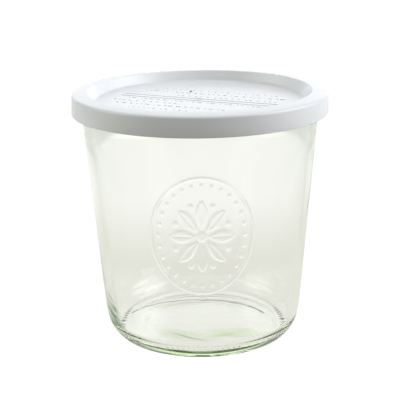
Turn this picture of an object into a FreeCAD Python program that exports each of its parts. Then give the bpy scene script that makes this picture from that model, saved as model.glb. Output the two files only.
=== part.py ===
import FreeCAD, Part
import Sketcher
import os

# Storage jar: a clear glass preserving jar with a straight taper and a wide mouth,
# closed by a white plastic press-on cover. Millimetres, +Z up, origin on the jar's
# axis where the foot stands on the table.

doc = FreeCAD.newDocument("StorageJar")

# ---------------------------------------------------------------- driving sizes

sizes = [
    # foot and heel of the glass
    ("foot_radius", 38.3, "outer edge of the ring that the jar stands on"),
    ("foot_width", 3.6, "width of that ring before its edge is rounded"),
    ("foot_edge", 1.8, "rounding of the ring's outer edge"),
    ("base_rise", 1.0, "push-up under the centre of the base"),
    ("heel_radius", 43.3, "outside of the wall where the heel begins"),
    ("heel_height", 10.2, "height of that place"),
    # wall
    ("neck_radius", 50.8, "outside of the wall just under the rim"),
    ("neck_height", 98.8, "height of that place"),
    ("wall", 2.9, "glass thickness in the upper wall"),
    ("wall_low", 3.5, "glass thickness at the foot of the wall"),
    ("floor_height", 4.0, "upper side of the glass floor"),
    ("floor_curve", 5.5, "rounding between floor and wall inside"),
    # rim
    ("rim_radius", 52.9, "outside of the rim bead"),
    ("rim_bottom", 100.4, "lower edge of the bead"),
    ("rim_top", 105.9, "sealing face"),
    ("rim_edge", 1.1, "rounding of the bead"),
    ("mouth_radius", 49.5, "mouth above the ledge"),
    ("ledge_radius", 46.6, "throat below the ledge"),
    ("ledge_height", 101.5, "ledge inside the mouth"),
    ("ledge_edge", 0.7, "rounding of the ledge"),
    ("throat_height", 96.5, "lower end of the straight throat"),
    ("shoulder_height", 87.0, "where the wall begins to thicken towards the throat"),
    ("throat_curve", 12.0, "rounding of that change"),
    # cover
    ("lid_radius", 55.1, "outside of the skirt at its lower edge"),
    ("skirt_bottom", 98.74, "lower edge of the skirt"),
    ("skirt_draft", 0.3, "how much the skirt narrows to its upper edge"),
    ("skirt_wall", 1.6, "thickness of the skirt"),
    ("ridge_height", 107.1, "upper outer edge of the cover"),
    ("ridge_edge", 0.9, "rounding of that edge"),
    ("lid_top", 107.93, "highest line, round the stacking recess"),
    ("recess_radius", 47.9, "stacking recess at its top"),
    ("recess_foot", 45.4, "stacking recess at its floor"),
    ("recess_floor", 103.5, "upper side of the recess floor"),
    ("recess_edge", 0.5, "rounding of the recess at its top"),
    ("recess_curve", 1.4, "rounding of the recess at its floor"),
    ("plate", 1.3, "thickness of the cover's plate"),
    ("snap_radius", 52.7, "inside of the snap bead"),
    ("snap_height", 99.75, "height of the snap bead"),
    ("snap_top", 100.5, "where the snap bead begins"),
    ("skirt_edge", 0.35, "rounding of the skirt's lower edge"),
    ("gate_radius", 1.1, "moulding mark at the centre of the cover"),
    ("gate_rise", 0.35, "height of that mark"),
    ("rib_length", 72.0, "length of the fine ribs across the recess floor"),
    ("rib_width", 0.5, "width of a rib"),
    ("rib_rise", 0.25, "height of a rib"),
    ("rib_gap", 4.1, "distance from the rib through the centre to the one before it"),
    ("rib_turn", -25.0, "turn of the ribs from the X axis, degrees"),
]

sheet = doc.addObject("Spreadsheet::Sheet", "Sizes")
for row, (alias, value, note) in enumerate(sizes, start=1):
    sheet.set("A%d" % row, alias)
    sheet.set("B%d" % row, str(value))
    sheet.set("C%d" % row, note)
    sheet.setAlias("B%d" % row, alias)
doc.recompute()

# inner radius of the wall at its two ends, and the same line carried down to the floor
inner_low = "(Sizes.heel_radius - Sizes.wall_low)"
inner_top = "(Sizes.neck_radius - Sizes.wall)"
wall_rise = "(Sizes.neck_height - Sizes.heel_height)"
inner_slope = "(%s - %s) / %s" % (inner_top, inner_low, wall_rise)
inner_floor = "%s + %s * (Sizes.floor_height - Sizes.heel_height)" % (inner_low, inner_slope)
inner_shoulder = "%s + %s * (Sizes.shoulder_height - Sizes.heel_height)" % (inner_low, inner_slope)

# ---------------------------------------------------------------- sketch helpers


def origin_plane(body, role):
    """The body's own origin plane with this role, such as XZ_Plane."""
    return next(item for item in body.Origin.OriginFeatures if item.Role == role)


def new_sketch(body, name, role):
    """A sketch flat on one of the body's origin planes."""
    sketch = body.newObject("Sketcher::SketchObject", name)
    sketch.AttachmentSupport = [(origin_plane(body, role), "")]
    sketch.MapMode = "FlatFace"
    return sketch


def bind(sketch, constraint, name, expression):
    """Add a driving constraint and tie its value to the sheet."""
    index = sketch.addConstraint(constraint)
    sketch.renameConstraint(index, name)
    sketch.setExpression("Constraints.%s" % name, expression)


def arc_through(start, middle, end):
    """An arc of a circle for the sketcher, and whether it runs from end to start."""
    found = Part.Arc(start, middle, end).toShape().Curve
    turn = (middle - start).cross(end - middle).z
    circle = Part.Circle(found.Center, FreeCAD.Vector(0, 0, 1), found.Radius)
    first = circle.parameter(start)
    last = circle.parameter(end)
    if turn < 0:
        return Part.ArcOfCircle(circle, last, first), True
    return Part.ArcOfCircle(circle, first, last), False


def draw_profile(sketch, corners):
    """Draw a closed half section in the plane of the axis.

    Each corner is a name, its radius, its height and the way to the next corner:
    "line", or an arc given by the bulge of its middle to the right of the way, with
    "tangent" where the arc runs smoothly into the next line, or "dome" where its
    centre lies on the axis.
    """
    points = []
    for name, radius, height, way in corners:
        across = float(sketch.evalExpression(radius))
        up = float(sketch.evalExpression(height))
        points.append(FreeCAD.Vector(across, up, 0))

    ends = []
    for index, (name, radius, height, way) in enumerate(corners):
        start = points[index]
        end = points[(index + 1) % len(points)]
        if way == "line":
            geometry = sketch.addGeometry(Part.LineSegment(start, end), False)
            ends.append((geometry, 1, 2))
            continue
        kind, bulge = way
        along = (end - start).normalize()
        right = FreeCAD.Vector(along.y, -along.x, 0)
        middle = (start + end) * 0.5 + right * bulge
        arc, backwards = arc_through(start, middle, end)
        geometry = sketch.addGeometry(arc, False)
        ends.append((geometry, 2, 1) if backwards else (geometry, 1, 2))

    for index, (name, radius, height, way) in enumerate(corners):
        geometry, first, last = ends[index]
        after, after_first, after_last = ends[(index + 1) % len(ends)]
        if way[0] == "tangent":
            sketch.addConstraint(Sketcher.Constraint("Tangent", geometry, last, after, after_first))
        else:
            sketch.addConstraint(Sketcher.Constraint("Coincident", geometry, last, after, after_first))
        if way[0] == "dome":
            sketch.addConstraint(Sketcher.Constraint("PointOnObject", geometry, 3, -2))

    for index, (name, radius, height, way) in enumerate(corners):
        geometry, first, last = ends[index]
        across = points[index].x
        up = points[index].y
        if across == 0:
            sketch.addConstraint(Sketcher.Constraint("PointOnObject", geometry, first, -2))
        else:
            bind(sketch, Sketcher.Constraint("DistanceX", -1, 1, geometry, first, across), name + "_r", radius)
        if up == 0:
            sketch.addConstraint(Sketcher.Constraint("PointOnObject", geometry, first, -1))
        else:
            bind(sketch, Sketcher.Constraint("DistanceY", -1, 1, geometry, first, up), name + "_z", height)


def revolve(body, name, sketch):
    """Turn the half section right round the axis."""
    feature = body.newObject("PartDesign::Revolution", name)
    feature.Profile = sketch
    feature.ReferenceAxis = (sketch, ["V_Axis"])
    feature.Angle = 360
    sketch.Visibility = False
    doc.recompute()
    return feature


def rings_at(feature, places):
    """Names of the round edges at these radii and heights, given as expressions."""
    found = []
    for radius, height in places:
        across = float(feature.evalExpression(radius))
        up = float(feature.evalExpression(height))
        for number, edge in enumerate(feature.Shape.Edges, start=1):
            if edge.Degenerated or not isinstance(edge.Curve, Part.Circle):
                continue
            if abs(edge.Curve.Radius - across) < 0.01 and abs(edge.Curve.Center.z - up) < 0.01:
                found.append("Edge%d" % number)
    if len(found) != len(places):
        raise ValueError("%s: %d round edges found for %d places" % (feature.Name, len(found), len(places)))
    return found


def round_rings(body, name, feature, places, size):
    """Fillet those edges with a size from the sheet."""
    fillet = body.newObject("PartDesign::Fillet", name)
    fillet.Base = (feature, rings_at(feature, places))
    fillet.setExpression("Radius", size)
    doc.recompute()
    return fillet


# ---------------------------------------------------------------- the glass jar


def make_jar():
    """Half section of the glass, turned round, with its edges rounded."""
    body = doc.addObject("PartDesign::Body", "JarBody")
    sketch = new_sketch(body, "JarProfile", "XZ_Plane")
    draw_profile(sketch, [
        ("centre_under", "0", "Sizes.base_rise", ("dome", -0.25)),
        ("foot_inner", "Sizes.foot_radius - Sizes.foot_width", "0", "line"),
        ("foot_outer", "Sizes.foot_radius", "0", ("tangent", 1.0)),
        ("heel", "Sizes.heel_radius", "Sizes.heel_height", "line"),
        ("neck", "Sizes.neck_radius", "Sizes.neck_height", "line"),
        ("bead_low", "Sizes.rim_radius", "Sizes.rim_bottom", "line"),
        ("bead_top", "Sizes.rim_radius", "Sizes.rim_top", "line"),
        ("mouth_top", "Sizes.mouth_radius", "Sizes.rim_top", "line"),
        ("ledge_outer", "Sizes.mouth_radius", "Sizes.ledge_height", "line"),
        ("ledge_inner", "Sizes.ledge_radius", "Sizes.ledge_height", "line"),
        ("throat", "Sizes.ledge_radius", "Sizes.throat_height", "line"),
        ("shoulder", inner_shoulder, "Sizes.shoulder_height", "line"),
        ("floor_edge", inner_floor, "Sizes.floor_height", "line"),
        ("centre_floor", "0", "Sizes.floor_height", "line"),
    ])
    turned = revolve(body, "JarTurned", sketch)
    foot = round_rings(body, "FootEdge", turned, [("Sizes.foot_radius", "0")], "Sizes.foot_edge")
    floor = round_rings(body, "FloorCurve", foot, [(inner_floor, "Sizes.floor_height")], "Sizes.floor_curve")
    throat = round_rings(body, "ThroatCurve", floor, [
        ("Sizes.ledge_radius", "Sizes.throat_height"),
        (inner_shoulder, "Sizes.shoulder_height"),
    ], "Sizes.throat_curve")
    ledge = round_rings(body, "LedgeEdges", throat, [
        ("Sizes.ledge_radius", "Sizes.ledge_height"),
        ("Sizes.mouth_radius", "Sizes.ledge_height"),
        ("Sizes.neck_radius", "Sizes.neck_height"),
    ], "Sizes.ledge_edge")
    round_rings(body, "RimEdges", ledge, [
        ("Sizes.rim_radius", "Sizes.rim_bottom"),
        ("Sizes.rim_radius", "Sizes.rim_top"),
        ("Sizes.mouth_radius", "Sizes.rim_top"),
    ], "Sizes.rim_edge")
    body.Label = "jar"
    return body


# ---------------------------------------------------------------- the plastic cover


def pad_on_floor(body, name, sketch, rise):
    """Raise a mark from the recess floor by a size from the sheet."""
    sketch.setExpression("AttachmentOffset.Base.z", "Sizes.recess_floor")
    pad = body.newObject("PartDesign::Pad", name)
    pad.Profile = sketch
    pad.setExpression("Length", rise)
    sketch.Visibility = False
    doc.recompute()
    return pad


def make_gate_mark(body):
    """The small round mark that moulding leaves at the centre."""
    sketch = new_sketch(body, "GateOutline", "XY_Plane")
    circle = Part.Circle(FreeCAD.Vector(0, 0, 0), FreeCAD.Vector(0, 0, 1), 1)
    geometry = sketch.addGeometry(circle, False)
    sketch.addConstraint(Sketcher.Constraint("Coincident", geometry, 3, -1, 1))
    bind(sketch, Sketcher.Constraint("Radius", geometry, 1), "gate", "Sizes.gate_radius")
    return pad_on_floor(body, "GateMark", sketch, "Sizes.gate_rise")


def make_rib(body, name, place):
    """A fine straight rib across the recess floor, that many gaps from the centre."""
    sketch = new_sketch(body, name + "Outline", "XY_Plane")
    half_length = sheet.rib_length / 2
    half_width = sheet.rib_width / 2
    corners = [
        FreeCAD.Vector(-half_length, -half_width, 0),
        FreeCAD.Vector(half_length, -half_width, 0),
        FreeCAD.Vector(half_length, half_width, 0),
        FreeCAD.Vector(-half_length, half_width, 0),
    ]
    for index in range(4):
        sketch.addGeometry(Part.LineSegment(corners[index], corners[(index + 1) % 4]), False)
    for index in range(4):
        sketch.addConstraint(Sketcher.Constraint("Coincident", index, 2, (index + 1) % 4, 1))
    for index, way in enumerate(["Horizontal", "Vertical", "Horizontal", "Vertical"]):
        sketch.addConstraint(Sketcher.Constraint(way, index))
    sketch.addConstraint(Sketcher.Constraint("Symmetric", 0, 1, 1, 2, -1, 1))
    bind(sketch, Sketcher.Constraint("DistanceX", 0, 1, 0, 2, 2 * half_length), "length", "Sizes.rib_length")
    bind(sketch, Sketcher.Constraint("DistanceY", 1, 1, 1, 2, 2 * half_width), "width", "Sizes.rib_width")
    away = "%d * Sizes.rib_gap" % place
    sketch.setExpression("AttachmentOffset.Base.x", away + " * -sin(Sizes.rib_turn * 1 deg)")
    sketch.setExpression("AttachmentOffset.Base.y", away + " * cos(Sizes.rib_turn * 1 deg)")
    sketch.setExpression("AttachmentOffset.Rotation.Angle", "Sizes.rib_turn * 1 deg")
    return pad_on_floor(body, name, sketch, "Sizes.rib_rise")


def make_lid():
    """Half section of the cover, turned round, with its edges rounded and its floor marked."""
    body = doc.addObject("PartDesign::Body", "LidBody")
    sketch = new_sketch(body, "LidProfile", "XZ_Plane")
    skirt_inside = "Sizes.lid_radius - Sizes.skirt_wall"
    draw_profile(sketch, [
        ("skirt_foot", "Sizes.lid_radius", "Sizes.skirt_bottom", "line"),
        ("ridge", "Sizes.lid_radius - Sizes.skirt_draft", "Sizes.ridge_height", "line"),
        ("recess_top", "Sizes.recess_radius", "Sizes.lid_top", "line"),
        ("recess_low", "Sizes.recess_foot", "Sizes.recess_floor", "line"),
        ("centre_top", "0", "Sizes.recess_floor", "line"),
        ("centre_under", "0", "Sizes.recess_floor - Sizes.plate", "line"),
        ("plug_low", "Sizes.recess_foot + Sizes.plate * 0.7", "Sizes.recess_floor - Sizes.plate", "line"),
        ("plug_top", "Sizes.recess_radius + Sizes.plate", "Sizes.rim_top", "line"),
        ("seat_outer", skirt_inside, "Sizes.rim_top", "line"),
        ("snap_upper", skirt_inside, "Sizes.snap_top", "line"),
        ("snap", "Sizes.snap_radius", "Sizes.snap_height", "line"),
        ("skirt_inner", skirt_inside, "Sizes.skirt_bottom", "line"),
    ])
    turned = revolve(body, "LidTurned", sketch)
    recess = round_rings(body, "RecessCurve", turned, [
        ("Sizes.recess_foot", "Sizes.recess_floor"),
        ("Sizes.recess_foot + Sizes.plate * 0.7", "Sizes.recess_floor - Sizes.plate"),
    ], "Sizes.recess_curve")
    edge = round_rings(body, "RecessEdge", recess, [("Sizes.recess_radius", "Sizes.lid_top")], "Sizes.recess_edge")
    ridge = round_rings(body, "RidgeEdge", edge, [
        ("Sizes.lid_radius - Sizes.skirt_draft", "Sizes.ridge_height"),
    ], "Sizes.ridge_edge")
    round_rings(body, "SkirtEdge", ridge, [
        ("Sizes.lid_radius", "Sizes.skirt_bottom"),
        ("Sizes.snap_radius", "Sizes.snap_height"),
    ], "Sizes.skirt_edge")
    make_gate_mark(body)
    make_rib(body, "RibFront", -1)
    make_rib(body, "RibBack", 0)
    body.Label = "lid"
    return body


# ---------------------------------------------------------------- build, check, write

parts = [make_jar(), make_lid()]
doc.recompute()

for item in doc.Objects:
    if "Invalid" in item.State or "Error" in item.State:
        raise RuntimeError("%s did not build: %s" % (item.Name, item.State))
for part in parts:
    if part.Shape.isNull() or not part.Shape.isValid():
        raise RuntimeError("%s has no valid shape" % part.Label)
    if len(part.Shape.Solids) != 1:
        raise RuntimeError("%s is not one solid" % part.Label)

os.makedirs("parts", exist_ok=True)
for part in parts:
    part.Shape.exportStep(os.path.join("parts", part.Label + ".step"))
    box = part.Shape.optimalBoundingBox()
    print("%s: %.1f cm3, %.2f x %.2f x %.2f mm" % (
        part.Label, part.Shape.Volume / 1000, box.XLength, box.YLength, box.ZLength))
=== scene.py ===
from math import atan2, cos, hypot, pi, radians, sin

import bmesh
import bpy
from mathutils import Euler, Matrix, Vector, noise


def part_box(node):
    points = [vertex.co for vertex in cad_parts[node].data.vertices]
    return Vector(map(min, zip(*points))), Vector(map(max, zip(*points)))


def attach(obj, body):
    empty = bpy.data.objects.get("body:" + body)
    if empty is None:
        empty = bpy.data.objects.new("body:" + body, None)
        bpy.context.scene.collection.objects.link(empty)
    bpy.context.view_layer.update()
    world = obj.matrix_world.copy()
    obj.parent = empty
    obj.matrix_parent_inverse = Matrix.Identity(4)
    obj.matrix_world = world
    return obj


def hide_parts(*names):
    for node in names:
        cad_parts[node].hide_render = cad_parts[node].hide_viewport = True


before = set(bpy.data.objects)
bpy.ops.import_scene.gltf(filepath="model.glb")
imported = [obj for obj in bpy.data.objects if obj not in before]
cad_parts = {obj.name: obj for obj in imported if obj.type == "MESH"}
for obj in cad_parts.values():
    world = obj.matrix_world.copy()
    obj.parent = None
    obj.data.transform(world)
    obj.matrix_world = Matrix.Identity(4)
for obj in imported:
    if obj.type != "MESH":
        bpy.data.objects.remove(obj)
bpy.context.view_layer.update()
mm = 0.001      # the dictionaries are in millimetres, with noise scales per metre
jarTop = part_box("jar")[1].z / mm
lidLow, lidTop = (corner.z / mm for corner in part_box("lid"))
print("frame loaded")


# small tools for shapes and shaders

def addPiece(name, bm, material, nodeName):
    # finish a bmesh as a piece that rides on the one body
    mesh = bpy.data.meshes.new(name)
    for face in bm.faces:
        face.smooth = True
    bm.to_mesh(mesh)
    bm.free()
    mesh.materials.append(material)
    piece = bpy.data.objects.new(name, mesh)
    bpy.context.scene.collection.objects.link(piece)
    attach(piece, "root")
    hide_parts(nodeName)
    print(name, "has", sum(len(face.vertices) - 2 for face in mesh.polygons), "triangles")


def drawOutline(bm, corners, spacing):
    # corners are (radius, height, reach of the rounding, its steps) in millimetres
    points = [bm.verts.new((radius * mm, 0, height * mm)) for radius, height, reach, steps in corners]
    for start, end in zip(points, points[1:]):
        bm.edges.new((start, end))
    for point, (radius, height, reach, steps) in zip(points, corners):
        if reach:
            bmesh.ops.bevel(bm, geom=[point], offset=reach * mm, offset_type="OFFSET",
                            affect="VERTICES", segments=steps, profile=0.5, material=-1)
    for edge in list(bm.edges):
        middle = (edge.verts[0].co + edge.verts[1].co) / 2
        cuts = int(edge.calc_length() / (spacing(middle.x / mm, middle.z / mm) * mm))
        if cuts:
            bmesh.ops.subdivide_edges(bm, edges=[edge], cuts=cuts)


def turnOutline(bm, sectors):
    # spin the outline through each sector, an angle and its steps, and close the seam and the poles
    moving = bm.verts[:] + bm.edges[:]
    for angle, steps in sectors:
        turned = bmesh.ops.spin(bm, geom=moving, cent=(0, 0, 0), axis=(0, 0, 1), dvec=(0, 0, 0),
                                angle=angle, steps=steps, use_merge=False, use_duplicate=False)
        moving = turned["geom_last"]
    bmesh.ops.remove_doubles(bm, verts=bm.verts, dist=0.002 * mm)
    bmesh.ops.recalc_face_normals(bm, faces=bm.faces)


def ease(amount, low=0, high=1):
    # smooth step from 0 to 1 between low and high
    amount = min(max((amount - low) / (high - low), 0), 1)
    return amount * amount * (3 - 2 * amount)


def feed(tree, socket, value):
    # give a socket a wire, a node's first output or a plain value
    if isinstance(value, Wire):
        tree.links.new(value.socket, socket)
    elif hasattr(value, "outputs"):
        tree.links.new(value.outputs[0], socket)
    else:
        socket.default_value = value


class Wire:
    # one socket of a material, so that shader maths reads as plain sums
    def __init__(self, tree, socket):
        self.tree = tree
        self.socket = socket

    def math(self, kind, *values):
        made = self.tree.nodes.new("ShaderNodeMath")
        made.operation = kind
        for socket, value in zip(made.inputs, values):
            feed(self.tree, socket, value)
        return Wire(self.tree, made.outputs[0])

    def __add__(self, other):
        return self.math("ADD", self, other)

    def __radd__(self, other):
        return self.math("ADD", other, self)

    def __sub__(self, other):
        return self.math("SUBTRACT", self, other)

    def __rsub__(self, other):
        return self.math("SUBTRACT", other, self)

    def __mul__(self, other):
        return self.math("MULTIPLY", self, other)

    def __rmul__(self, other):
        return self.math("MULTIPLY", other, self)

    def __truediv__(self, other):
        return self.math("DIVIDE", self, other)

    def step(self, low, high):
        # smooth step from 0 to 1 between low and high
        made = self.tree.nodes.new("ShaderNodeMapRange")
        made.interpolation_type = "SMOOTHSTEP"
        for socket, value in zip(made.inputs, (self, low, high)):
            feed(self.tree, socket, value)
        return Wire(self.tree, made.outputs[0])


class Finish:
    # the node tree of a material or world
    def __init__(self, owner):
        owner.use_nodes = True
        self.tree = owner.node_tree
        self.tree.nodes.clear()

    def node(self, kind, settings=None, *values, **named):
        # settings come first, then the sockets, in their order or by name
        made = self.tree.nodes.new(kind)
        for name, value in (settings or {}).items():
            setattr(made, name, value)
        for socket, value in zip(made.inputs, values):
            feed(self.tree, socket, value)
        for name, value in named.items():
            name = name.replace("_", " ").lower()
            socket = next(each for each in made.inputs if each.name.lower() == name and each.enabled)
            feed(self.tree, socket, value)
        return made

    def wire(self, made, output=0):
        return Wire(self.tree, made.outputs[output])

    def noise(self, place, scale, **named):
        return self.wire(self.node("ShaderNodeTexNoise", Vector=place, Scale=scale, **named))

    def mixColour(self, amount, low, high, blend="MIX"):
        made = self.node("ShaderNodeMix", {"data_type": "RGBA", "blend_type": blend}, Factor=amount)
        for number, value in ((6, low), (7, high)):
            feed(self.tree, made.inputs[number], value if isinstance(value, Wire) else (*value, 1))
        return self.wire(made, 2)


# camera, before anything else

cameraSet = {
    "place": (-0.6, -455.1, 191.5),
    "tiltDown": 0.2847,                 # radians below the horizon
    "roll": -0.0141,
    "lens": 96.85,
    "near": 10, "far": 50000,
}


def placeCamera(s):
    data = bpy.data.cameras.new("studioCamera")
    data.lens = s["lens"]
    data.clip_start = s["near"] * mm
    data.clip_end = s["far"] * mm
    camera = bpy.data.objects.new("studioCamera", data)
    look = Euler((pi / 2 - s["tiltDown"], 0, 0)).to_matrix().to_4x4()
    place = Matrix.Translation([c * mm for c in s["place"]])
    camera.matrix_world = place @ look @ Matrix.Rotation(s["roll"], 4, "Z")
    bpy.context.scene.collection.objects.link(camera)
    bpy.context.scene.camera = camera


placeCamera(cameraSet)
print("camera placed")


# glass

glass = {
    "tint": (0.49, 0.78, 0.08),         # what the glass lets through
    "depth": 10.0,                      # absorbed per metre
    "index": 1.52,
    "waveScale": 38, "waveStrength": 0.1, "waveDeep": 0.5,
    "smearScale": 60, "smearEdges": (0.55, 0.8), "smearRough": 0.03,
    # more depth for the knurls under the foot, at the left and right but not at the back
    "knurls": 96, "knurlDeep": 0.05,
    "footEdge": (34.6, 35.6), "footTop": (0.6, 0.9), "knurlSide": (16, 30), "knurlBack": (4, 18),
    # a fold low on the left, shown only as painted shade: a dark green wedge with painted pale lines,
    # from its middle angle in shares of its reach
    "foldAngle": radians(-81), "foldReach": radians(30), "foldStart": (-0.3, 0.45), "foldEnd": (0.8, 1.1),
    "foldTop": 25.5, "foldFall": 17, "foldLow": 6.8, "softTop": 3, "softLow": 1.5,
    "lines": 1.5, "lineLean": 7, "lineEdge": (0.5, 1), "foldShadeGreen": (0.08, 0.19, 0.07),
    # greener places in the floor: place, half width, half depth, slope and colour
    "floorLow": (3.0, 3.3), "floorHigh": (5.0, 5.5),
    "greenOvals": [((-6, -21), 17, 7, -0.3, (0.70, 0.79, 0.54)),
                ((15, -19), 18, 6.5, -0.1, (0.68, 0.79, 0.52)),
                ((8, -20.5), 8, 1.6, 0.15, (0.72, 0.82, 0.56)),
                ((-5.5, -22.8), 9, 1.1, -0.47, (0.25, 0.42, 0.19))],
}


def knurlHeight(s, x, y, z):
    # ridges in step with those of the mesh
    inner, outer = s["footEdge"]
    middle, side = s["knurlSide"]
    onFoot = (x * x + y * y).step(inner ** 2, outer ** 2) * (1 - z.step(*s["footTop"]))
    kept = (x * x).step(middle ** 2, side ** 2) * (1 - y.step(*s["knurlBack"]))
    angle = x.math("ARCTAN2", x, y) * s["knurls"]
    return angle.math("COSINE", angle) * onFoot * kept


def floorGreen(s, f, x, y, z, colour):
    # soft greener ovals painted into the floor's colour, one of them a thin dark band
    onFloor = z.step(*s["floorLow"]) * (1 - z.step(*s["floorHigh"]))
    for (across, along), wide, deep, slope, green in s["greenOvals"]:
        aside = (x - across) / wide
        ahead = (y - along - (x - across) * slope) / deep
        near = 1 - (aside * aside + ahead * ahead).step(0, 1)
        colour = f.mixColour(near * onFloor, colour, green, "MULTIPLY")
    return colour


def foldPaintedShade(s, x, y, z):
    # painted shade of the fold, highest at the left and falling towards the front, with painted pale
    # lines across it
    around = (x.math("ARCTAN2", x, 0 - y) - s["foldAngle"]) / s["foldReach"]
    below = (s["foldTop"] - z - around * s["foldFall"]).step(0, s["softTop"])
    above = (z - s["foldLow"]).step(0, s["softLow"])
    ends = around.step(*s["foldStart"]) * (1 - around.step(*s["foldEnd"]))
    phase = z * s["lines"] + around * s["lineLean"]
    pale = phase.math("SINE", phase).step(*s["lineEdge"])
    return below * above * ends * (1 - pale)


def jarGlass(s):
    material = bpy.data.materials.new("jarGlass")
    f = Finish(material)
    place = f.wire(f.node("ShaderNodeTexCoord"), "Object")
    parts = f.node("ShaderNodeSeparateXYZ", Vector=place)
    x, y, z = (f.wire(parts, axis) / mm for axis in "XYZ")
    waves = f.noise(place, s["waveScale"], Detail=1.5, Roughness=0.4)
    smear = f.noise(place, s["smearScale"], Detail=4, Roughness=0.6)
    bump = f.node("ShaderNodeBump", Height=waves, Strength=s["waveStrength"],
                  Distance=s["waveDeep"] * mm)
    bump = f.node("ShaderNodeBump", Height=knurlHeight(s, x, y, z), Strength=1,
                  Distance=s["knurlDeep"] * mm, Normal=bump)
    colour = floorGreen(s, f, x, y, z, (1, 1, 1))
    # the fold's painted shade and pale lines darken the glass colour
    colour = f.mixColour(foldPaintedShade(s, x, y, z), colour, s["foldShadeGreen"], "MULTIPLY")
    surface = f.node("ShaderNodeBsdfPrincipled", Base_Color=colour, IOR=s["index"],
                     Roughness=smear.step(*s["smearEdges"]) * s["smearRough"],
                     Transmission_Weight=1, Normal=bump)
    inside = f.node("ShaderNodeVolumeAbsorption", Color=(*s["tint"], 1), Density=s["depth"])
    f.node("ShaderNodeOutputMaterial", Surface=surface, Volume=inside)
    return material


# jar, whose wall is one straight taper outside

jar = {
    "footRadius": 38.3, "footInner": 34.7, "footGap": 0.12, "baseRise": 1.0,
    "heelOut": 3.4, "heelUp": 3.9, "heelRadius": 43.3, "heelHeight": 10.2,
    "neckRadius": 50.8, "neckHeight": 98.8,
    "rimRadius": 52.85, "rimBottom": 100.4, "rimGap": 0.05,
    "mouthRadius": 49.5, "ledgeRadius": 46.6, "ledgeHeight": 101.5,
    "throatHeight": 96.5, "shoulderHeight": 87.0,
    "wall": 2.9, "wallLow": 3.5, "floorHeight": 4.0, "cornerReach": 5.0,
    "reliefLow": 31.0, "reliefHigh": 82.6,
    "spacing": 3.2, "reliefSpacing": 0.36, "ringSpacing": 0.5,
    "frontAngle": radians(52.5), "frontSteps": 140, "restSteps": 164,
    "knurls": 96, "knurlDeep": 0.3, "knurlInner": (33.8, 34.8), "knurlOuter": (37.5, 38.7),
    "ringLow": 18.0, "ringHigh": 33.8,
    # rough rings under the base: centre, half width, half depth, line, rise at the back and in front
    "rings": [((-3, -6), 33.5, 26.7, 0.5, 0.55, 0.06), ((3, -5), 28.4, 25, 0.4, 0.0, 0.12)],
    "ringSoft": 1.6, "ringTurn": (0.1, 0.5),
    "ringWander": 0.5, "wanderSize": 4, "ringRough": 0.75, "ringMore": 0.9, "roughSize": 2.2,
    # uneven inside of the wall: where it starts and stops, and its waves as (size, strength)
    "wallFrom": (12, 24), "wallTo": (83, 91), "wallStretch": 0.4, "wallWave": 0.09,
    "wallWaves": [(11, 1.0), (26, 1.6)],
    # uneven floor: how far from the wall it starts, and a dent towards the front
    # its waves are (stretch across, stretch along, slice, size)
    "floorFrom": (2, 16), "floorTop": 14, "floorWave": 0.05,
    "floorWaves": [(0.6, 1.6, 3, 6), (1, 1, 7, 19)],
    "dentPlace": (0, -20), "dentWide": 2.2, "dentReach": 13, "dentWave": 0.8,
}


def wallRadius(s, height):
    slope = (s["neckRadius"] - s["heelRadius"]) / (s["neckHeight"] - s["heelHeight"])
    return s["heelRadius"] + slope * (height - s["heelHeight"])


def innerRadius(s, height):
    low = s["heelRadius"] - s["wallLow"]
    top = s["neckRadius"] - s["wall"]
    return low + (top - low) * (height - s["heelHeight"]) / (s["neckHeight"] - s["heelHeight"])


ornament = {
    "middle": 56.8, "rise": 0.55, "edge": 0.6,
    "ovalWide": 20.9, "ovalHigh": 24.7, "line": 0.5,
    "dots": 28, "dotSize": 0.7, "dotInset": 3.0,
    "petals": 8, "petalStart": 2.6, "petalLong": 10.4, "petalWide": 4.3,
    "petalTip": 1.2, "petalFull": 0.8, "vein": 0.5, "veinRise": 0.55,
    "drop": 0.95, "dropPlace": 11.6, "heart": 1.7,
}


def ornamentRise(s, across, up):
    # height of the raised ornament, from 0 to 1: an oval, dots inside it and a rosette
    def raised(inside):
        return ease(inside, -s["edge"] / 2, s["edge"] / 2)

    reach = hypot(across / s["ovalWide"], up / s["ovalHigh"])
    steep = hypot(across / s["ovalWide"] ** 2, up / s["ovalHigh"] ** 2) / max(reach, 0.01)
    outside = (reach - 1) / max(steep, 1e-6)
    if outside > s["line"] + s["edge"]:
        return 0
    best = raised(s["line"] - abs(outside))
    wide = s["ovalWide"] - s["dotInset"]
    high = s["ovalHigh"] - s["dotInset"]
    turnBy = atan2(up / high, across / wide)
    near = round(turnBy / (2 * pi) * s["dots"]) * 2 * pi / s["dots"]
    away = hypot(across - wide * cos(near), up - high * sin(near))
    best = max(best, raised(s["dotSize"] - away))
    # the rosette is stretched like the oval, and every petal folds onto the upright one
    up *= s["ovalWide"] / s["ovalHigh"]
    radius = hypot(across, up)
    angle = atan2(across, up)
    share = 2 * pi / s["petals"]
    onPetal = (angle + share / 2) % share - share / 2
    between = angle % share - share / 2
    along = (radius * cos(onPetal) - s["petalStart"]) / s["petalLong"]
    aside = abs(radius * sin(onPetal))
    if 0 < along < 1:
        half = s["petalWide"] / 2 * sin(pi * along ** s["petalTip"]) ** s["petalFull"]
        vein = s["veinRise"] + (1 - s["veinRise"]) * ease(aside / s["vein"])
        best = max(best, raised(half - aside) * vein)
    away = hypot(radius * cos(between) - s["dropPlace"], radius * sin(between))
    best = max(best, raised(s["drop"] - away))
    return max(best, raised(s["heart"] - radius))


def wave(x, y, z, size):
    return noise.noise(Vector((x, y, z)) / size)


def wallPush(s, x, y, z):
    # the inside of the wall goes in and out
    fade = ease(z, *s["wallFrom"]) * (1 - ease(z, *s["wallTo"]))
    waves = sum(wave(x, y, z * s["wallStretch"], size) * strength for size, strength in s["wallWaves"])
    return fade * s["wallWave"] * waves


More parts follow.
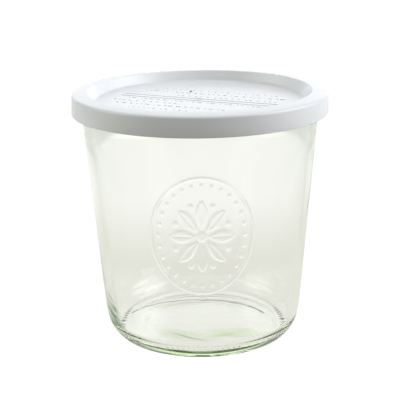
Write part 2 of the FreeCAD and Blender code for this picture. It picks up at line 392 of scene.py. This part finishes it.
def floorRise(s, x, y, z):
    # the floor is a little uneven, most of all in the dent
    if z > s["floorTop"]:
        return 0
    level = ease(innerRadius(s, z) - hypot(x, y), *s["floorFrom"])
    across = (x - s["dentPlace"][0]) / s["dentWide"]
    along = y - s["dentPlace"][1]
    deep = s["floorWave"] + s["dentWave"] * ease(1 - hypot(across, along) / s["dentReach"])
    waves = sum(wave(x * wide, y * long, layer, size) for wide, long, layer, size in s["floorWaves"])
    return level * deep * waves


def ringRise(s, x, y):
    # rough mould rings under the base
    total = 0
    for centre, wide, deep, line, back, front in s["rings"]:
        across, along = (x - centre[0]) / wide, (y - centre[1]) / deep
        away = (hypot(across, along) - 1) * wide + s["ringWander"] * wave(x, y, 5, s["wanderSize"])
        rough = s["ringRough"] + s["ringMore"] * wave(x, y, 1, s["roughSize"])
        rise = front + (back - front) * ease(along, *s["ringTurn"])
        total += rise * rough * ease(1 - abs(away) / (line * s["ringSoft"]))
    return total


def knurlRise(s, x, y):
    # knurls across the foot ring
    radius = hypot(x, y)
    onFoot = ease(radius, *s["knurlInner"]) * (1 - ease(radius, *s["knurlOuter"]))
    return onFoot * s["knurlDeep"] * (0.5 - 0.5 * cos(s["knurls"] * atan2(x, -y)))


def shapeGlass(s, o, co):
    # ornament outside, uneven wall and floor inside, mould rings and knurls underneath
    x, y, z = co.x / mm, co.y / mm, co.z / mm
    radius = hypot(x, y)
    if radius < 0.01:
        return
    outer = wallRadius(s, z)
    onWall = abs(radius - outer) < 0.05 and s["reliefLow"] < z < s["reliefHigh"]
    inside = radius < outer - 1.5 and z > s["floorHeight"] - 0.5
    underBase = radius < s["footInner"] - 0.8 and z < s["baseRise"] + 0.3
    onFoot = radius < s["footRadius"] + 1.5 and z < s["footGap"] + 1.1
    push = rise = 0
    if onWall:
        push = ornamentRise(o, atan2(x, -y) * radius, z - o["middle"]) * o["rise"]
    elif inside:
        push = wallPush(s, x, y, z)
        rise = floorRise(s, x, y, z)
    elif underBase:
        rise = ringRise(s, x, y)
    elif onFoot:
        rise = knurlRise(s, x, y)
    co.x = x * (1 + push / radius) * mm
    co.y = y * (1 + push / radius) * mm
    co.z = (z + rise) * mm


def makeJar(s, o):
    bm = bmesh.new()

    def spacing(radius, height):
        if radius > wallRadius(s, height) - 1 and s["reliefLow"] < height < s["reliefHigh"]:
            return s["reliefSpacing"]
        if s["ringLow"] < radius < s["ringHigh"] and height < s["baseRise"]:
            return s["ringSpacing"]
        return s["spacing"]

    def underside(radius):
        return s["baseRise"] * (1 - (radius / s["footInner"]) ** 2) + s["footGap"]

    floorRadius = innerRadius(s, s["floorHeight"])
    domeRadius = s["footInner"] * 0.35
    corners = [     # radius, height, reach of the rounding, its steps
        (0, underside(0), 0, 0),
        (domeRadius, underside(domeRadius), 4, 3),
        (s["ringLow"], underside(s["ringLow"]), 2, 2),
        (s["ringHigh"], underside(s["ringHigh"]), 0, 0),
        (s["footInner"], s["footGap"], 0.3, 2),
        (s["footRadius"], s["footGap"], 1.3, 5),
        (s["footRadius"] + s["heelOut"], s["heelUp"], 2.6, 8),
        (s["heelRadius"], s["heelHeight"], 3.2, 8),
        (wallRadius(s, s["reliefLow"]), s["reliefLow"], 0, 0),
        (wallRadius(s, s["reliefHigh"]), s["reliefHigh"], 0, 0),
        (s["neckRadius"], s["neckHeight"], 0.5, 4),
        (s["rimRadius"], s["rimBottom"], 1.0, 5),
        (s["rimRadius"], jarTop - s["rimGap"], 1.1, 6),
        (s["mouthRadius"], jarTop - s["rimGap"], 1.1, 6),
        (s["mouthRadius"], s["ledgeHeight"], 0.6, 4),
        (s["ledgeRadius"], s["ledgeHeight"], 0.7, 5),
        (s["ledgeRadius"], s["throatHeight"], 2.0, 5),
        (innerRadius(s, s["shoulderHeight"]), s["shoulderHeight"], 3.5, 6),
        (floorRadius, s["floorHeight"], s["cornerReach"], 14),
        (0, s["floorHeight"], 0, 0),
    ]
    drawOutline(bm, corners, spacing)
    bmesh.ops.rotate(bm, verts=bm.verts, cent=(0, 0, 0),
                     matrix=Matrix.Rotation(-pi / 2 - s["frontAngle"] / 2, 3, "Z"))
    turnOutline(bm, [(s["frontAngle"], s["frontSteps"]), (2 * pi - s["frontAngle"], s["restSteps"])])
    for vert in bm.verts:
        shapeGlass(s, o, vert.co)
    addPiece("jarGlass", bm, jarGlass(glass), "jar")


makeJar(jar, ornament)


# cover

coverLook = {
    "white": (0.77, 0.78, 0.785), "shade": (0.745, 0.755, 0.755),
    "cloudScale": 22, "swirlScale": 70, "swirlShare": 0.3,
    "grainScale": 1400, "grainShare": 0.25, "rippleScale": 160,
    "bumpStrength": 0.12, "bumpDeep": 0.25,
    "index": 1.5, "roughness": 0.2, "swirlRough": 0.1,
    # a brown crumb on the recess floor
    "crumb": (-4.0, 16.9, 103.6), "crumbRadius": 0.55,
    "crumbGrain": 0.4, "crumbLeast": 0.75, "crumbMore": 0.5,
    "dirt": (0.30, 0.20, 0.09), "dirtSize": 0.75, "dirtSoft": 1.25, "dirtShare": 0.8, "dirtRough": 0.4,
}


def coverPlastic(s):
    material = bpy.data.materials.new("coverPlastic")
    f = Finish(material)
    place = f.wire(f.node("ShaderNodeTexCoord"), "Object")
    clouds = f.noise(place, s["cloudScale"], Detail=2, Roughness=0.45)
    swirl = f.noise(place, s["swirlScale"], Detail=3, Roughness=0.55, Distortion=1.2)
    grain = f.noise(place, s["grainScale"], Detail=2, Roughness=0.5)
    ripple = f.noise(place, s["rippleScale"], Detail=2, Roughness=0.5)
    bump = f.node("ShaderNodeBump", Height=grain * s["grainShare"] + ripple,
                  Strength=s["bumpStrength"], Distance=s["bumpDeep"] * mm)
    mottle = clouds * (1 - s["swirlShare"]) + swirl * s["swirlShare"]
    tone = f.mixColour(mottle, s["shade"], s["white"])
    crumb = tuple(c * mm for c in s["crumb"])
    away = f.wire(f.node("ShaderNodeVectorMath", {"operation": "DISTANCE"}, place, crumb), "Value")
    dirt = 1 - away.step(s["dirtSize"] * mm, s["dirtSize"] * s["dirtSoft"] * mm)
    patchy = s["dirtShare"] + (1 - s["dirtShare"]) * clouds
    tone = f.mixColour(dirt * patchy, tone, s["dirt"])
    rough = s["roughness"] + (swirl - 0.5) * s["swirlRough"] + dirt * s["dirtRough"]
    surface = f.node("ShaderNodeBsdfPrincipled", Base_Color=tone, IOR=s["index"],
                     Roughness=rough, Normal=bump)
    f.node("ShaderNodeOutputMaterial", Surface=surface)
    return material


cover = {
    "radius": 55.0, "skirtDraft": 0.3, "skirtWall": 1.5, "ridgeHeight": 107.1,
    "recessRadius": 47.9, "recessFoot": 45.4, "recessFloor": 103.5, "plate": 1.3,
    "snapRadius": 52.9, "snapHeight": 99.75, "snapTop": 100.5,
    "seatGap": 0.02, "steps": 224, "spacing": 4,
    "ribTurn": radians(-25), "ribGap": 4.1, "ribLong": 71.9, "ribWide": 0.45, "ribRise": 0.16,
    "gateRadius": 1.05, "gateRise": 0.34,
    # small marks: each varies by up to its "more", and they are spread unevenly along their row
    "markRise": 0.16, "markStep": 3.3, "markSpread": 0.9, "markEdge": 0.09,
    "dotRadius": 0.4, "dotMore": 0.15, "dotSides": 14, "dotFoot": 0.12, "dotTop": 0.1,
    "lozenge": 0.95, "dashLong": 1.3, "dashMore": 1.0, "dashWide": 0.6, "dashLean": 0.3,
    # rows of marks: distance from the rib through the centre, left end, right end, kind
    "rows": [(16.5, -26, 30, "dot"), (10.5, -31, 35, "dash"), (4.2, -12, 33, "lozenge"),
             (-7.4, -30, 33, "dash"), (-13.0, -34, -2, "lozenge"), (-18.6, -30, 28, "dash"),
             (-25.5, -21, 17, "dot")],
}


def listMarks(s):
    # bars are (along, away, length, width, rise, turn) and dots are (along, away, radius, rise)
    bars = [(0, away, s["ribLong"], s["ribWide"], s["ribRise"], 0) for away in (0, -s["ribGap"])]
    dots = [(0, 0, s["gateRadius"], s["gateRise"])]
    for away, along, end, kind in s["rows"]:
        while along < end:
            # a steady chance from the mark's place
            choice = noise.cell(Vector((along * 1.7 + 31, away * 2.3 + 17, 3)))
            if kind == "dot":
                dots.append((along, away, s["dotRadius"] + s["dotMore"] * choice, s["markRise"]))
            elif kind == "lozenge":
                bars.append((along, away, s["lozenge"], s["lozenge"], s["markRise"], pi / 4))
            else:
                long = s["dashLong"] + s["dashMore"] * choice
                lean = s["dashLean"] * (choice - 0.5)
                bars.append((along, away, long, s["dashWide"], s["markRise"], lean))
            along += s["markStep"] + s["markSpread"] * (choice - 0.5)
    return bars, dots


def raiseMarks(s, bm):
    # ribs, gate mark and rows of small raised marks on the recess floor
    floor = Matrix.Translation((0, 0, s["recessFloor"] * mm)) @ Matrix.Rotation(s["ribTurn"], 4, "Z")
    bars, dots = listMarks(s)
    made = []
    for along, away, long, wide, rise, turn in bars:
        place = floor @ Matrix.Translation((along * mm, away * mm, 0)) @ Matrix.Rotation(turn, 4, "Z")
        size = Matrix.Diagonal((long * mm, wide * mm, 2 * rise * mm, 1))
        made += bmesh.ops.create_cube(bm, size=1, matrix=place @ size)["verts"]
    edges = list(dict.fromkeys(edge for vert in made for edge in vert.link_edges))
    bmesh.ops.bevel(bm, geom=edges, offset=s["markEdge"] * mm, offset_type="OFFSET", affect="EDGES",
                    segments=2, profile=0.5, material=-1)
    for along, away, radius, rise in dots:
        place = floor @ Matrix.Translation((along * mm, away * mm, 0))
        bmesh.ops.create_cone(bm, cap_ends=True, segments=s["dotSides"], depth=2 * rise * mm,
                              radius1=(radius + s["dotFoot"]) * mm,
                              radius2=(radius - s["dotTop"]) * mm, matrix=place)


def dropCrumb(s, bm):
    middle = Vector([c * mm for c in s["crumb"]])
    ball = bmesh.ops.create_icosphere(bm, subdivisions=3, radius=s["crumbRadius"] * mm,
                                      matrix=Matrix.Translation(middle))
    for vert in ball["verts"]:
        push = s["crumbLeast"] + s["crumbMore"] * noise.noise(vert.co / (s["crumbGrain"] * mm))
        vert.co = middle + (vert.co - middle) * push


def makeCover(s):
    bm = bmesh.new()
    seat = jarTop + s["seatGap"]
    corners = [     # radius, height, reach of the rounding, its steps
        (0, s["recessFloor"], 0, 0),
        (s["recessFoot"], s["recessFloor"], 0.8, 5),
        (s["recessRadius"], lidTop, 0.35, 5),
        (s["radius"] - s["skirtDraft"], s["ridgeHeight"], 0.9, 7),
        (s["radius"], lidLow, 0.35, 4),
        (s["radius"] - s["skirtWall"], lidLow, 0.35, 4),
        (s["snapRadius"], s["snapHeight"], 0.3, 4),
        (s["radius"] - s["skirtWall"], s["snapTop"], 0.2, 3),
        (s["radius"] - s["skirtWall"], seat, 0.3, 3),
        (s["recessRadius"] + s["plate"], seat, 0.3, 3),
        (s["recessFoot"] + s["plate"] * 0.7, s["recessFloor"] - s["plate"], 0.8, 4),
        (0, s["recessFloor"] - s["plate"], 0, 0),
    ]
    drawOutline(bm, corners, lambda radius, height: s["spacing"])
    turnOutline(bm, [(2 * pi, s["steps"])])
    raiseMarks(s, bm)
    dropCrumb(coverLook, bm)
    addPiece("coverPlastic", bm, coverPlastic(coverLook), "lid")


makeCover(cover)


# studio: a pale table with soft tones and soft light all round

studio = {
    "seen": 1.05,                       # white as the camera sees it
    "base": 0.04,                       # light from everywhere
    # name: turn from the back towards the right, height, spread in degrees and light
    "lights": {
        "backdrop": (0, 4, 27, (1.00, 1.02, 1.04)),
        "backLeft": (-45, 20, 35, (0.50, 0.51, 0.57)),
        "backRight": (45, 20, 35, (0.52, 0.53, 0.60)),
        "left": (-97, 20, 25, (2.85, 2.92, 2.82)),
        "right": (96, 20, 26, (3.92, 4.02, 4.22)),
        "rightHigh": (90, 60, 30, (1.12, 1.12, 1.17)),
        "top": (0, 80, 40, (0.10, 0.09, 0.07)),
        "front": (180, 10, 62, (0.55, 0.55, 0.52)),
    },
    "lightEdge": 1.5,
    # tones of the table and where each gives way to the next
    "tableSize": 8000,
    "tableNear": (0.81, 0.80, 0.76), "tableBeyond": (0.79, 0.775, 0.73),
    "tableFar": (0.98, 0.975, 0.965), "tableSide": (0.74, 0.755, 0.725),
    "tableFront": (0.78, 0.77, 0.73), "tableShade": (0.08, 0.07, 0.04),
    "line": 63, "lineTurn": radians(4.5), "lineSoft": (-1, 2),
    "farReach": (0, 140), "sideReach": (120, 240), "frontReach": (50, 90),
}


def shownWhite(f, s, lit, kind):
    # plain white where the camera looks straight at it, the real light for everything else
    white = f.node(kind, Color=(1, 1, 1, 1), Strength=s["seen"])
    direct = f.wire(f.node("ShaderNodeLightPath"), "Is Camera Ray")
    return f.node("ShaderNodeMixShader", {}, direct, lit, white)


def makeFloor(s):
    bm = bmesh.new()
    bmesh.ops.create_grid(bm, x_segments=1, y_segments=1, size=s["tableSize"] * mm)
    mesh = bpy.data.meshes.new("studioFloor")
    bm.to_mesh(mesh)
    bm.free()
    material = bpy.data.materials.new("studioFloor")
    f = Finish(material)
    place = f.wire(f.node("ShaderNodeTexCoord"), "Object")
    parts = f.node("ShaderNodeSeparateXYZ", Vector=place)
    x, y = (f.wire(parts, axis) / mm for axis in "XY")
    behind = y * cos(s["lineTurn"]) - x * sin(s["lineTurn"]) - s["line"]
    sideFrom, sideTo = s["sideReach"]
    tone = f.mixColour(behind.step(*s["lineSoft"]), s["tableNear"], s["tableBeyond"])
    tone = f.mixColour(behind.step(*s["farReach"]), tone, s["tableFar"])
    tone = f.mixColour((x * x).step(sideFrom ** 2, sideTo ** 2), tone, s["tableSide"])
    # a black flag in front keeps the light off the front of the cover
    diffuse = f.wire(f.node("ShaderNodeLightPath"), "Is Diffuse Ray")
    front = f.mixColour(diffuse, s["tableFront"], s["tableShade"])
    tone = f.mixColour((0 - y).step(*s["frontReach"]), tone, front)
    glow = f.node("ShaderNodeEmission", Color=tone, Strength=1)
    f.node("ShaderNodeOutputMaterial", Surface=shownWhite(f, s, glow, "ShaderNodeEmission"))
    mesh.materials.append(material)
    floorPlane = bpy.data.objects.new("studioFloor", mesh)
    bpy.context.scene.collection.objects.link(floorPlane)


def makeWorld(s):
    world = bpy.data.worlds.new("studioWorld")
    bpy.context.scene.world = world
    f = Finish(world)
    way = f.wire(f.node("ShaderNodeTexCoord"), "Generated")
    diffuse = f.wire(f.node("ShaderNodeLightPath"), "Is Diffuse Ray")
    light = (s["base"],) * 3
    for name, (turn, height, spread, colour) in s["lights"].items():
        turn, height, spread = radians(turn), radians(height), radians(spread)
        axis = (sin(turn) * cos(height), cos(turn) * cos(height), sin(height))
        facing = f.wire(f.node("ShaderNodeVectorMath", {"operation": "DOT_PRODUCT"}, way, axis), "Value")
        facing = facing.step(cos(s["lightEdge"] * spread), 1)
        if name == "front":
            facing = facing * (1 - diffuse)     # the flag again
        light = f.mixColour(facing, light, colour, "ADD")
    lit = f.node("ShaderNodeBackground", Color=light, Strength=1)
    f.node("ShaderNodeOutputWorld", Surface=shownWhite(f, s, lit, "ShaderNodeBackground"))


makeFloor(studio)
makeWorld(studio)
scene = bpy.context.scene
scene.view_settings.view_transform = "Standard"
scene.cycles.max_bounces = 48
scene.cycles.transmission_bounces = 48
scene.cycles.glossy_bounces = 12
print("studio lit")
